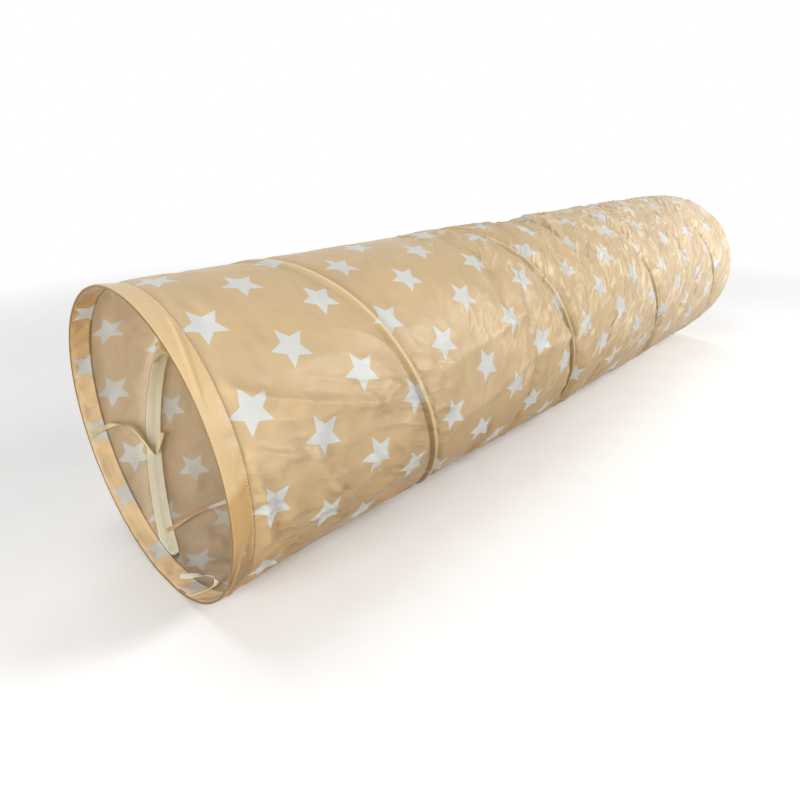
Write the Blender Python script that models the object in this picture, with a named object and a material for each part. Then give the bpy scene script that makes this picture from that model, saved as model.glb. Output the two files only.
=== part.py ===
# Pop-up play tunnel: a thin cloth sleeve held open by one spring wire.
#
# Metres, +Z up. The tunnel lies along X with its front mouth at -X, and the origin is on the
# floor under its middle. Angles run round the tunnel's axis from +Y (0) over the top (90) to
# -Y (180) and the floor (270).
#
# The wire is a closed hoop in the hem at each mouth and winds four turns between them. Each
# turn folds down flat by itself, so the sleeve, the wire and the tape that covers it are made
# turn by turn. Over the wire the sleeve stands up in a ridge that follows it round.
import math

import bmesh
import bpy
from mathutils import Vector

# The tunnel
TUNNEL_RADIUS = 0.2285
TUNNEL_LENGTH = 1.850
HEM_LENGTH = 0.030
HEM_FOLD = 0.0012
TURN_COUNT = 4
# The cloth, and the gap between two layers sewn together
CLOTH = 0.0005
SEWN_GAP = 0.0003
# The wire, and the crimped ferrule that closes each hoop
WIRE_RADIUS = 0.0014
FERRULE_RADIUS = 0.0017
FERRULE_LENGTH = 0.022
# The tape over the wire, and the ridge that the wire lifts in the sleeve
CASING_WIDTH = 0.026
CROWN_WIDTH = 0.006
CROWN_SHARE = 0.82
# The ribbon ties
TIE_WIDTH = 0.008
TIE_THICKNESS = 0.0008
TIE_STEPS_PER_POINT = 4
# Facets
STEPS_ROUND = 48
WIRE_SIDES = 6
FERRULE_SIDES = 10

STEP_ANGLE = math.tau / STEPS_ROUND
BOTTOM_ANGLE = math.radians(270)
# The tunnel's weight presses the two lowest facets flat on the floor.
FLOOR_DROP = TUNNEL_RADIUS * math.cos(STEP_ANGLE)

# The layers over the wire, from the outside in, seat on one another.
WIRE_PATH_RADIUS = TUNNEL_RADIUS - CLOTH - SEWN_GAP - FERRULE_RADIUS
TAPE_RADIUS = WIRE_PATH_RADIUS - WIRE_RADIUS - SEWN_GAP
SLEEVE_RADIUS = TAPE_RADIUS + SEWN_GAP + CLOTH
RIDGE_HEIGHT = TUNNEL_RADIUS - SLEEVE_RADIUS
FACING_RADIUS = WIRE_PATH_RADIUS - FERRULE_RADIUS - SEWN_GAP
HOOP_INSET = CLOTH + SEWN_GAP + FERRULE_RADIUS

FRONT_X = -TUNNEL_LENGTH / 2
REAR_X = TUNNEL_LENGTH / 2
SLEEVE_START_X = FRONT_X + HEM_LENGTH
SLEEVE_END_X = REAR_X - HEM_LENGTH
TURN_PITCH = (SLEEVE_END_X - SLEEVE_START_X) / TURN_COUNT
STEP_RISE = TURN_PITCH / STEPS_ROUND
# The wire leaves the front hem in the middle of a facet, this many steps past the bottom one.
WIRE_START_STEPS = 1.5
# A ferrule sits on the middle of a facet, this many steps before the bottom.
FERRULE_STEPS = -1.5

# Ties: each point is (run along X in hem lengths, height off the cloth in tie widths,
# degrees round the tunnel, roll of the ribbon in degrees).
SIDE_TIE_SHARES = (
    (0.14, 0.0, 346.2, 0),
    (0.52, 0.0, 346.8, 0),
    (1.02, 0.06, 347.6, 0),
    (1.35, 0.32, 348.2, 30),
    (1.80, 0.60, 347.2, 75),
    (2.25, 0.65, 343.5, 90),
    (2.60, 0.65, 337.5, 90),
    (2.82, 0.65, 332.0, 85),
    (2.98, 0.62, 329.4, 60),
    (3.20, 0.60, 331.0, 35),
    (3.50, 0.62, 334.0, 20),
    (3.82, 0.70, 337.4, 10),
)
BOTTOM_TIE_SHARES = (
    (0.14, 0.0, 253.0, 0),
    (0.50, 0.0, 251.2, 0),
    (1.02, 0.06, 248.9, 0),
    (1.28, 0.40, 248.6, -15),
    (1.42, 1.00, 249.4, -50),
    (1.25, 1.60, 252.5, -60),
    (0.98, 1.80, 256.5, -40),
    (0.70, 1.55, 260.8, -25),
    (0.42, 1.15, 265.0, -10),
)
# These two are sewn to the tape, and their run is counted from the front mouth too.
FLOOR_TIE_SHARES = (
    (1.56, 0.0, 293.9, 0),
    (1.80, 0.0, 294.0, 0),
    (2.30, 0.10, 294.4, 10),
    (3.00, 0.22, 295.2, 20),
    (3.80, 0.20, 295.6, 10),
    (4.60, 0.08, 295.2, 0),
    (5.40, 0.16, 294.4, -15),
    (6.00, 0.26, 293.9, -20),
)
BOW_TIE_SHARES = (
    (4.20, 0.46, 11.2, 0),
    (4.55, 0.18, 13.4, 0),
    (4.98, 0.04, 15.0, 0),
    (5.35, 0.18, 17.6, 0),
    (5.55, 0.50, 20.0, 0),
    (5.52, 0.84, 20.6, 0),
    (5.30, 0.90, 18.6, 0),
    (4.98, 0.56, 15.2, 0),
    (4.62, 0.70, 18.8, 0),
    (4.40, 1.05, 21.8, 0),
    (4.42, 1.42, 22.2, 0),
    (4.62, 1.44, 19.6, 0),
    (5.00, 1.04, 15.4, 0),
    (5.35, 1.12, 13.2, 0),
    (5.70, 1.10, 10.6, 0),
)

COLOURS = {
    "cloth": (0.80, 0.66, 0.42, 1.0),
    "tape": (0.83, 0.77, 0.56, 1.0),
    "ribbon": (0.86, 0.80, 0.62, 1.0),
    "wire": (0.55, 0.56, 0.58, 1.0),
}


def clear_scene():
    """Remove whatever the scene held."""
    for thing in list(bpy.data.objects):
        bpy.data.objects.remove(thing, do_unlink=True)


def material(name, kind):
    """A plain material in one of the tunnel's colours."""
    mat = bpy.data.materials.new(name)
    mat.use_nodes = True
    shader = mat.node_tree.nodes["Principled BSDF"]
    shader.inputs["Base Color"].default_value = COLOURS[kind]
    shader.inputs["Metallic"].default_value = 1.0 if kind == "wire" else 0.0
    shader.inputs["Roughness"].default_value = 0.35 if kind == "wire" else 0.5
    mat.diffuse_color = COLOURS[kind]
    return mat


def add_object(name, mesh, kind):
    """One named object with its own material, from a finished bmesh."""
    bmesh.ops.recalc_face_normals(mesh, faces=mesh.faces)
    data = bpy.data.meshes.new(name)
    mesh.to_mesh(data)
    mesh.free()
    data.shade_smooth()
    data.set_sharp_from_angle(angle=math.radians(40))
    data.materials.append(material(name, kind))
    thing = bpy.data.objects.new(name, data)
    bpy.context.collection.objects.link(thing)
    return thing


# Places round the tunnel


def on_layer(x, radius, angle):
    """A point of a layer, with the tunnel's axis at height zero and nothing pressed."""
    return Vector((x, radius * math.cos(angle), radius * math.sin(angle)))


def facet_offset(angle):
    """The angle from the middle of the facet that a direction meets."""
    steps = (angle - BOTTOM_ANGLE) / STEP_ANGLE
    return (steps - math.floor(steps) - 0.5) * STEP_ANGLE


def corner_radius(y, z):
    """The radius of the corners of the faceted layer that a point lies on."""
    offset = facet_offset(math.atan2(z, y))
    return math.hypot(y, z) * math.cos(offset) / math.cos(STEP_ANGLE / 2)


def on_facet(x, radius, angle):
    """A point on a layer's flat facet, where its corners have this radius."""
    return on_layer(
        x, radius * math.cos(STEP_ANGLE / 2) / math.cos(facet_offset(angle)), angle
    )


def pressed(point):
    """A point where the floor leaves it: each layer keeps its height over the floor."""
    lowest = TUNNEL_RADIUS - corner_radius(point.y, point.z) - FLOOR_DROP
    return Vector((point.x, point.y, max(point.z, lowest) + FLOOR_DROP))


def round_angle(steps):
    """The angle a number of steps past the bottom."""
    return BOTTOM_ANGLE + steps * STEP_ANGLE


# Bodies


def bridge(mesh, ring_a, ring_b):
    """Quads between two rings of as many corners."""
    for i, corner in enumerate(ring_a):
        j = (i + 1) % len(ring_a)
        mesh.faces.new((corner, ring_a[j], ring_b[j], ring_b[i]))


def sweep(rings, closed=False):
    """A body swept through rings of points, closed on itself or capped at both ends."""
    mesh = bmesh.new()
    made = [[mesh.verts.new(point) for point in ring] for ring in rings]
    for ring_a, ring_b in zip(made, made[1:]):
        bridge(mesh, ring_a, ring_b)
    if closed:
        bridge(mesh, made[-1], made[0])
    else:
        mesh.faces.new(made[0])
        mesh.faces.new(made[-1])
    return mesh


def tangents(path):
    """The direction of travel at each point of a path."""
    last = len(path) - 1
    return [
        (path[min(i + 1, last)] - path[max(i - 1, 0)]).normalized()
        for i in range(last + 1)
    ]


def rod(path, radius, sides):
    """A round rod along a path that winds about the tunnel's axis."""
    rings = []
    for point, ahead in zip(path, tangents(path)):
        outward = Vector((0, point.y, point.z - FLOOR_DROP))
        outward = (outward - outward.dot(ahead) * ahead).normalized()
        across = ahead.cross(outward)
        turns = [math.tau * side / sides for side in range(sides)]
        rings.append(
            [
                point + radius * (math.cos(turn) * outward + math.sin(turn) * across)
                for turn in turns
            ]
        )
    return sweep(rings)


def thicken(mesh, wall):
    """Give a layer its wall, inwards, and press the whole of it on the floor."""
    faces = list(mesh.faces)
    rim = [edge for edge in mesh.edges if edge.is_boundary]
    inner = {}
    for corner in list(mesh.verts):
        radius = corner_radius(corner.co.y, corner.co.z)
        share = (radius - wall) / radius
        inner[corner] = mesh.verts.new(
            (corner.co.x, corner.co.y * share, corner.co.z * share)
        )
    for face in faces:
        mesh.faces.new([inner[corner] for corner in reversed(face.verts)])
    for edge in rim:
        a, b = edge.verts
        mesh.faces.new((a, b, inner[b], inner[a]))
    for corner in mesh.verts:
        corner.co = pressed(corner.co)
    return mesh


def cut_between(mesh, low_x, high_x):
    """Keep what lies between two planes across the tunnel."""
    for x, side in ((low_x, -1), (high_x, 1)):
        bmesh.ops.bisect_plane(
            mesh,
            geom=list(mesh.verts) + list(mesh.edges) + list(mesh.faces),
            plane_co=(x, 0, 0),
            plane_no=(side, 0, 0),
            clear_outer=True,
        )


# The winding


def winding_x(steps):
    """Where the wire's line is after a number of steps past the bottom."""
    return SLEEVE_START_X + (steps - WIRE_START_STEPS) * STEP_RISE


def turn_start_x(turn):
    """The plane where a turn starts, counted from zero."""
    return SLEEVE_START_X + turn * TURN_PITCH


def sleeve_rows():
    """The sleeve's corners across one pitch, from the wire's line: (run, radius)."""
    crown = SLEEVE_RADIUS + RIDGE_HEIGHT * CROWN_SHARE
    return (
        (0, TUNNEL_RADIUS),
        (CROWN_WIDTH / 2, crown),
        (CASING_WIDTH / 2, SLEEVE_RADIUS),
        (TURN_PITCH / 2, SLEEVE_RADIUS),
        (TURN_PITCH - CASING_WIDTH / 2, SLEEVE_RADIUS),
        (TURN_PITCH - CROWN_WIDTH / 2, crown),
    )


def sleeve_bay(turn):
    """One turn of the sleeve, with the ridge that the wire lifts in it."""
    mesh = bmesh.new()
    rows = sleeve_rows()
    first = (turn - 1) * STEPS_ROUND
    last = (turn + 2) * STEPS_ROUND
    grid = {}
    for step in range(first, last + 1):
        for row, (run, radius) in enumerate(rows):
            place = on_layer(winding_x(step) + run, radius, round_angle(step))
            grid[step, row] = mesh.verts.new(place)
    for step in range(first, last):
        for row in range(len(rows)):
            above = (step, row + 1)
            beyond = (step + 1, row + 1)
            if row + 1 == len(rows):
                # The next turn's wire closes this one's cloth.
                above = (step + STEPS_ROUND, 0)
                beyond = (step + 1 + STEPS_ROUND, 0)
            if beyond in grid:
                corners = ((step, row), (step + 1, row), beyond, above)
                mesh.faces.new([grid[corner] for corner in corners])
    half_gap = SEWN_GAP / 2
    cut_between(mesh, turn_start_x(turn) + half_gap, turn_start_x(turn + 1) - half_gap)
    loose = [corner for corner in mesh.verts if not corner.link_faces]
    bmesh.ops.delete(mesh, geom=loose, context="VERTS")
    add_object(f"sleeve_turn_{turn + 1}", thicken(mesh, CLOTH), "cloth")


def casing_tape(turn):
    """One turn of the tape that covers the wire on the inside."""
    mesh = bmesh.new()
    spare = math.ceil(CASING_WIDTH / STEP_RISE)
    first = turn * STEPS_ROUND - spare
    last = (turn + 1) * STEPS_ROUND + spare
    edges = []
    for step in range(first, last + 1):
        x, angle = winding_x(step), round_angle(step)
        edges.append(
            [
                mesh.verts.new(on_layer(x + side * CASING_WIDTH / 2, TAPE_RADIUS, angle))
                for side in (-1, 1)
            ]
        )
    for (a, b), (c, d) in zip(edges, edges[1:]):
        mesh.faces.new((a, c, d, b))
    half_gap = SEWN_GAP / 2
    cut_between(mesh, turn_start_x(turn) + half_gap, turn_start_x(turn + 1) - half_gap)
    add_object(f"casing_tape_turn_{turn + 1}", thicken(mesh, CLOTH), "tape")


def wire_turn(turn):
    """One turn of the spring wire; the outer turns run on into the hems' pockets."""
    butt = SEWN_GAP / 2 / (WIRE_PATH_RADIUS * STEP_ANGLE)
    tucked = HEM_LENGTH - HOOP_INSET - FERRULE_RADIUS - SEWN_GAP - WIRE_RADIUS
    first = turn * STEPS_ROUND + WIRE_START_STEPS + butt
    last = (turn + 1) * STEPS_ROUND + WIRE_START_STEPS - butt
    if turn == 0:
        first = WIRE_START_STEPS - tucked / STEP_RISE
    if turn + 1 == TURN_COUNT:
        last = TURN_COUNT * STEPS_ROUND + WIRE_START_STEPS + tucked / STEP_RISE
    between = range(math.ceil(first), math.floor(last) + 1)
    path = [
        pressed(on_facet(winding_x(step), WIRE_PATH_RADIUS, round_angle(step)))
        for step in (first, *between, last)
    ]
    add_object(f"spring_wire_turn_{turn + 1}", rod(path, WIRE_RADIUS, WIRE_SIDES), "wire")


# The two ends


def hem(name, rim_x, inward):
    """The hem at one mouth: the cloth turned over the hoop, with its pocket for the wire."""
    end = HEM_LENGTH - SEWN_GAP / 2
    facing_inner = FACING_RADIUS - CLOTH
    section = (
        (end, TUNNEL_RADIUS),
        (HEM_FOLD, TUNNEL_RADIUS),
        (0, TUNNEL_RADIUS - HEM_FOLD),
        (0, facing_inner + HEM_FOLD),
        (HEM_FOLD, facing_inner),
        (end, facing_inner),
        (end, FACING_RADIUS),
        (CLOTH, FACING_RADIUS),
        (CLOTH, TUNNEL_RADIUS - CLOTH),
        (end, TUNNEL_RADIUS - CLOTH),
    )
    rings = []
    for step in range(STEPS_ROUND):
        angle = round_angle(step)
        rings.append(
            [pressed(on_layer(rim_x + inward * run, radius, angle)) for run, radius in section]
        )
    add_object(name, sweep(rings, closed=True), "cloth")


def chord_point(x, run):
    """A point of the wire's path on the ferrule's facet, this far from its middle."""
    depth = WIRE_PATH_RADIUS * math.cos(STEP_ANGLE / 2)
    angle = round_angle(FERRULE_STEPS) + math.atan2(run, depth)
    return pressed(on_facet(x, WIRE_PATH_RADIUS, angle))


def hoop(end_name, x):
    """The hoop in one hem, and the ferrule that its two ends meet in."""
    reach = FERRULE_LENGTH / 2 + SEWN_GAP
    first = math.ceil(FERRULE_STEPS)
    path = [chord_point(x, reach)]
    for step in range(first, first + STEPS_ROUND):
        path.append(pressed(on_layer(x, WIRE_PATH_RADIUS, round_angle(step))))
    path.append(chord_point(x, -reach))
    add_object(f"{end_name}_hoop_wire", rod(path, WIRE_RADIUS, WIRE_SIDES), "wire")
    path = [chord_point(x, side * FERRULE_LENGTH / 2) for side in (-1, 1)]
    add_object(f"{end_name}_hoop_ferrule", rod(path, FERRULE_RADIUS, FERRULE_SIDES), "wire")


# The ties


def smooth_route(points, steps):
    """Points on a smooth curve through the route's own points."""
    route = []
    last = len(points) - 1
    for i in range(last):
        before, here = points[max(i - 1, 0)], points[i]
        ahead, beyond = points[i + 1], points[min(i + 2, last)]
        for step in range(steps):
            t = step / steps
            route.append(
                [
                    b + t * (c - a) / 2 + t * t * (2 * a - 5 * b + 4 * c - d) / 2
                    + t * t * t * (3 * b - a - 3 * c + d) / 2
                    for a, b, c, d in zip(before, here, ahead, beyond)
                ]
            )
    route.append(list(points[-1]))
    return route


def tie(name, shares, seat_radius):
    """One ribbon tie, from its sewn end to its free end, over a layer with this radius."""
    path, rolls = [], []
    for run, height, degrees, roll in smooth_route(shares, TIE_STEPS_PER_POINT):
        lift = max(height, 0) * TIE_WIDTH
        radius = seat_radius - SEWN_GAP - TIE_THICKNESS / 2 - lift
        place = on_facet(FRONT_X + run * HEM_LENGTH, radius, math.radians(degrees))
        path.append(pressed(place))
        rolls.append(math.radians(roll))
    rings = []
    for point, ahead, roll in zip(path, tangents(path), rolls):
        outward = Vector((0, point.y, point.z - FLOOR_DROP))
        outward = (outward - outward.dot(ahead) * ahead).normalized()
        across = ahead.cross(outward)
        wide = math.cos(roll) * across + math.sin(roll) * outward
        thick = math.cos(roll) * outward - math.sin(roll) * across
        rings.append(
            [
                point + a * wide * TIE_WIDTH / 2 + b * thick * TIE_THICKNESS / 2
                for a, b in ((-1, -1), (1, -1), (1, 1), (-1, 1))
            ]
        )
    add_object(name, sweep(rings), "ribbon")


def build():
    """The whole tunnel."""
    clear_scene()
    hem("front_hem", FRONT_X, 1)
    hoop("front", FRONT_X + HOOP_INSET)
    for turn in range(TURN_COUNT):
        sleeve_bay(turn)
        wire_turn(turn)
        casing_tape(turn)
    hem("rear_hem", REAR_X, -1)
    hoop("rear", REAR_X - HOOP_INSET)
    facing_inner = FACING_RADIUS - CLOTH
    tape_inner = TAPE_RADIUS - CLOTH
    tie("front_tie_side", SIDE_TIE_SHARES, facing_inner)
    tie("front_tie_bottom", BOTTOM_TIE_SHARES, facing_inner)
    tie("coil_tie_bow", BOW_TIE_SHARES, tape_inner)
    tie("coil_tie_floor", FLOOR_TIE_SHARES, tape_inner)


build()
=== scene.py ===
import math

import bmesh
import bpy
from mathutils import Euler, Matrix, Vector
from mathutils.noise import noise


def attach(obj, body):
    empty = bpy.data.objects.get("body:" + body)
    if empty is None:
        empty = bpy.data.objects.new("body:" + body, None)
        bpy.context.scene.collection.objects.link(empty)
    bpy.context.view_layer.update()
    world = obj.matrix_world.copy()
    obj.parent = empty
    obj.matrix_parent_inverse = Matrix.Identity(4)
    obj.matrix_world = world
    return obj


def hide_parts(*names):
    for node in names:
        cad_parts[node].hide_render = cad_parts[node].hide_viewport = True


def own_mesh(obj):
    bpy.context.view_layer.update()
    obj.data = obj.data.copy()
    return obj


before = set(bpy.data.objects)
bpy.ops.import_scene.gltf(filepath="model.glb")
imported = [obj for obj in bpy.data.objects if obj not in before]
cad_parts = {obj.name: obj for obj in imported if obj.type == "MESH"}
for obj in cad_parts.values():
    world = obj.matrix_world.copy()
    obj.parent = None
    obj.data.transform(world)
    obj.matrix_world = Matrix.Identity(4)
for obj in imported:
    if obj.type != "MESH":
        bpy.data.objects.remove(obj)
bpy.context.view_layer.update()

# Sizes of the tunnel, in metres and degrees
TUNNEL_RADIUS = 0.2285
AXIS_HEIGHT = 0.226545
FRONT_X = -0.925
REAR_X = 0.925
TUNNEL_LENGTH = REAR_X - FRONT_X
HEM_LENGTH = 0.030
SLEEVE_START = FRONT_X + HEM_LENGTH
SLEEVE_END = REAR_X - HEM_LENGTH
SLEEVE_RADIUS = 0.2251
SEAM_RADIUS = 0.2238
CROWN_RADIUS = 0.2301
TAPE_RADIUS = 0.2230
TAPE_HALF = 0.013
FACING_RADIUS = 0.2235
CLOTH_THICKNESS = 0.0005
WIRE_RADIUS = 0.0014
WIRE_PATH_RADIUS = 0.2260
TURNS = 4
PITCH = (SLEEVE_END - SLEEVE_START) / TURNS
COIL_START = 281.25
# A folded turn is 12 mm. The least height of the sleeve cloth above the floor:
FLOOR_CLEARANCE = 0.0003
HEM_REACH = 0.0306
HEM_TAPER = 0.0024
RIM_FOLD = 0.0021

# Star print
STAR_RADIUS = 0.0298
STAR_INNER_SHARE = 0.47
STAR_FIRST = 0.0581
STAR_PITCH = 0.0866
STARS_ROUND = 12
STAR_TURN = 2.0 / 30.0
PRINT_RADIUS = 0.2255
STAR_ARC = math.tau * PRINT_RADIUS / STARS_ROUND
STAR_EDGE_BLUR = 0.0003

# Ribbon ties
RIBBON_WIDTH = 0.008
RIBBON_THICKNESS = 0.0007


def around(x, radius, degrees):
    """The point of the tunnel at this distance along it, radius and angle."""
    angle = math.radians(degrees)
    return Vector((x, radius * math.cos(angle), AXIS_HEIGHT + radius * math.sin(angle)))


def outward_at(degrees):
    """The direction away from the tunnel's axis at this angle."""
    angle = math.radians(degrees)
    return Vector((0, math.cos(angle), math.sin(angle)))


def along_coil(outward, lead):
    """The direction of the coil at a place, from its outward direction and the coil's lead angle."""
    return Vector((0, -outward.z, outward.y)) * math.cos(lead) + Vector((math.sin(lead), 0, 0))


def pressed(point):
    """The point lifted where the layers of the tunnel lie flat on the floor."""
    radius = math.hypot(point.y, point.z - AXIS_HEIGHT)
    return Vector((point.x, point.y, max(point.z, TUNNEL_RADIUS - radius)))


def angle_of(point):
    """Degrees round the tunnel, from 0 to 360."""
    return math.degrees(math.atan2(point.z - AXIS_HEIGHT, point.y)) % 360


def rise(low, high, value):
    """A smooth rise from 0 to 1."""
    share = min(max((value - low) / (high - low), 0), 1)
    return share * share * (3 - 2 * share)


def hump(start, full, fading, end, value):
    """A smooth rise to 1 and fall back to 0."""
    return rise(start, full, value) * (1 - rise(fading, end, value))


def add_object(name, data):
    """A new object of this data, in the scene."""
    item = bpy.data.objects.new(name, data)
    bpy.context.scene.collection.objects.link(item)
    return item


def add_mesh(name, shape):
    """A new object with this shape as its mesh."""
    mesh = bpy.data.meshes.new(name)
    shape.to_mesh(mesh)
    return add_object(name, mesh)


# Camera
def place_camera():
    """Looks into the front mouth from beside it."""
    data = bpy.data.cameras.new("camera")
    data.lens = 25.64
    data.sensor_width = 36
    data.clip_start = 0.01
    camera = add_object("camera", data)
    camera.location = (-1.1792, -0.7292, 0.6102)
    camera.rotation_euler = Euler((math.radians(90 - 24.0), 0, math.radians(-46.7)))
    bpy.context.scene.camera = camera


place_camera()


# Materials
class Value:
    """A socket of a material's nodes, for use in sums and products like a number."""

    def __init__(self, socket):
        self.socket = socket
        self.tree = socket.id_data

    def __add__(self, other):
        return maths("ADD", self, other)

    def __sub__(self, other):
        return maths("SUBTRACT", self, other)

    def __mul__(self, other):
        return maths("MULTIPLY", self, other)

    def __truediv__(self, other):
        return maths("DIVIDE", self, other)

    def __abs__(self):
        return maths("ABSOLUTE", self)

    def scaled(self, factor, offset):
        """This value times a factor, plus an offset."""
        return maths("MULTIPLY_ADD", self, factor, offset)

    def past_whole(self):
        """The distance from the nearest whole number."""
        return self - maths("ROUND", self)


def tree_of(*values):
    """The node tree that the values are in."""
    return next(v.tree for v in values if isinstance(v, Value))


def fill(node, inputs):
    """Joins values to a node's inputs, and sets the others to plain numbers or colours."""
    for key, value in inputs.items():
        if isinstance(value, Value):
            value.tree.links.new(value.socket, node.inputs[key])
        else:
            node.inputs[key].default_value = value
    return node


def made(tree, kind, output=0, inputs=None):
    """The output of a new node with these inputs."""
    return Value(fill(tree.nodes.new(kind), inputs or {}).outputs[output])


def maths(operation, *values):
    """One step of arithmetic on values and plain numbers."""
    node = tree_of(*values).nodes.new("ShaderNodeMath")
    node.operation = operation
    return Value(fill(node, dict(enumerate(values))).outputs[0])


def blend_colours(share, first, second, way="MIX"):
    """The first colour with a share of the second, mixed or multiplied in."""
    node = tree_of(share, first, second).nodes.new("ShaderNodeMix")
    node.data_type = "RGBA"
    node.blend_type = way
    return Value(fill(node, {"Factor": share, "A": first, "B": second}).outputs["Result"])


def ramp(value, *stops):
    """A colour ramp from pairs of a place and a colour or a grey."""
    node = fill(value.tree.nodes.new("ShaderNodeValToRGB"), {"Fac": value})
    elements = node.color_ramp.elements
    while len(elements) < len(stops):
        elements.new(0.5)
    for element, (place, shade) in zip(elements, stops):
        element.position = place
        element.color = shade if isinstance(shade, tuple) else (shade, shade, shade, 1)
    return Value(node.outputs["Color"])


def colour(red, green, blue):
    """A linear colour from one written in 0 to 255."""
    shares = [c / 255 for c in (red, green, blue)]
    linear = [c / 12.92 if c <= 0.04045 else ((c + 0.055) / 1.055) ** 2.4 for c in shares]
    return (*linear, 1.0)


def new_material(name):
    """A material and its node tree, with only an output in it."""
    material = bpy.data.materials.new(name)
    material.use_nodes = True
    tree = material.node_tree
    tree.nodes.clear()
    tree.nodes.new("ShaderNodeOutputMaterial")
    return material, tree


def show(shader):
    """Makes the shader its material's surface."""
    fill(shader.tree.nodes.get("Material Output"), {"Surface": shader})


def cloth_map(tree):
    """The piece's own UV map."""
    node = tree.nodes.new("ShaderNodeUVMap")
    node.uv_map = "UVMap"
    return Value(node.outputs[0])


def cloth_places(tree):
    """Where a spot is on the cloth: along it and round it, and both as a vector in metres."""
    split = fill(tree.nodes.new("ShaderNodeSeparateXYZ"), {0: cloth_map(tree)})
    along, cells = Value(split.outputs[0]), Value(split.outputs[1])
    return along, cells, made(tree, "ShaderNodeCombineXYZ", 0, {0: along, 1: cells * STAR_ARC})


def star_print(along, cells):
    """1 on the printed stars and 0 on the ground between them."""
    shifted = along - STAR_FIRST
    column = maths("ROUND", shifted / STAR_PITCH)
    a = shifted - column * STAR_PITCH
    offset = maths("FLOORED_MODULO", column, 2.0).scaled(0.5, STAR_TURN)
    b = (cells - offset).past_whole() * STAR_ARC
    radius = maths("SQRT", a * a + b * b)
    fifth = math.tau / 5
    folded = abs((maths("ARCTAN2", b, a * -1.0) / fifth).past_whole()) * fifth
    inner = STAR_RADIUS * STAR_INNER_SHARE
    edge = Vector((inner * math.sin(fifth / 2), STAR_RADIUS - inner * math.cos(fifth / 2))).normalized()
    px = radius * maths("COSINE", folded)
    py = radius * maths("SINE", folded)
    outside = py.scaled(edge.y, (px - STAR_RADIUS) * edge.x)
    node = along.tree.nodes.new("ShaderNodeMapRange")
    node.interpolation_type = "SMOOTHSTEP"
    fill(node, {"Value": outside, "From Min": STAR_EDGE_BLUR, "From Max": -STAR_EDGE_BLUR})
    return Value(node.outputs["Result"])


def speckle(vector, scale, detail=2.0, roughness=0.5):
    """An uneven grey pattern."""
    inputs = {"Vector": vector, "Scale": scale, "Detail": detail, "Roughness": roughness}
    return made(vector.tree, "ShaderNodeTexNoise", "Fac", inputs)


def threads(vector, scale):
    """Warp and weft of a plain weave, as a height."""
    heights = []
    for direction in ("X", "Y"):
        wave = vector.tree.nodes.new("ShaderNodeTexWave")
        wave.bands_direction = direction
        fill(wave, {"Vector": vector, "Scale": scale, "Distortion": 0.4})
        heights.append(Value(wave.outputs["Fac"]))
    return heights[0] * heights[1]


def raise_surface(height, distance, strength=1.0, below=None):
    """The normal of a surface raised by a height, over the relief that it already has."""
    inputs = {"Strength": strength, "Distance": distance, "Height": height}
    if below is not None:
        inputs["Normal"] = below
    return made(height.tree, "ShaderNodeBump", "Normal", inputs)


def thin_cloth(shade, normal, roughness, glow):
    """The surface of a thin cloth that lets some light through."""
    cloth = made(shade.tree, "ShaderNodeBsdfPrincipled", 0, {
        "Base Color": shade, "Normal": normal, "Roughness": roughness,
        "Sheen Weight": 0.15, "Sheen Roughness": 0.4, "Specular IOR Level": 0.36,
    })
    through = made(shade.tree, "ShaderNodeBsdfTranslucent", 0, {"Color": shade, "Normal": normal})
    show(made(shade.tree, "ShaderNodeMixShader", 0, {"Fac": glow, 1: cloth, 2: through}))


def beside_coil(along, cells):
    """Distance along the tunnel behind the nearest turn of the coil wire."""
    turned = cells.scaled(-1 / STARS_ROUND, COIL_START / 360)
    return ((along - HEM_LENGTH) / PITCH + turned).past_whole() * PITCH


def stretched(vector, turn, wide, tall):
    """The vector turned on the cloth and scaled, so that a pattern on it runs long and narrow."""
    mapping = vector.tree.nodes.new("ShaderNodeMapping")
    mapping.vector_type = "TEXTURE"
    fill(mapping, {"Vector": vector, "Rotation": (0, 0, math.radians(turn)), "Scale": (wide, tall, 1)})
    return Value(mapping.outputs[0])


def sharp_creases(vector, detail):
    """Narrow crests with flat ground between them."""
    return ramp(abs(speckle(vector, 1.0, detail) - 0.5) * 14.0, (0.0, 1.0), (0.9, 0.0))


def facets(vector):
    """The flat facets of crumpled cloth, with a crisp crest where they meet."""
    return made(vector.tree, "ShaderNodeTexVoronoi", "Distance", {"Vector": vector, "Scale": 1.0, "Detail": 0.6})


def from_top(arc, whole):
    """0 at the top of the tunnel and 1 at its bottom, from the distance round it."""
    return maths("SINE", arc * (math.tau / whole)).scaled(-0.5, 0.5)


def sleeve_colours(run, down, ground, star):
    """The sleeve's two colours, with painted shade low down and painted light towards the far mouth."""
    # Painted shade: the ground darker and browner on the tunnel's lower side
    painted_low_shade = tuple(c * k for c, k in zip(ground, (0.86, 0.76, 0.58, 1)))
    ground = blend_colours(ramp(down, (0.44, 0.0), (0.76, 1.0)), ground, painted_low_shade)
    # Painted light: ground and stars paler towards the far mouth, where the cloth catches more light
    painted_rear_light = ramp(run, (0.50, 0.0), (0.90, 0.55))
    return blend_colours(painted_rear_light, ground, colour(238, 220, 196)), blend_colours(painted_rear_light, star, colour(244, 244, 242))


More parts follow.
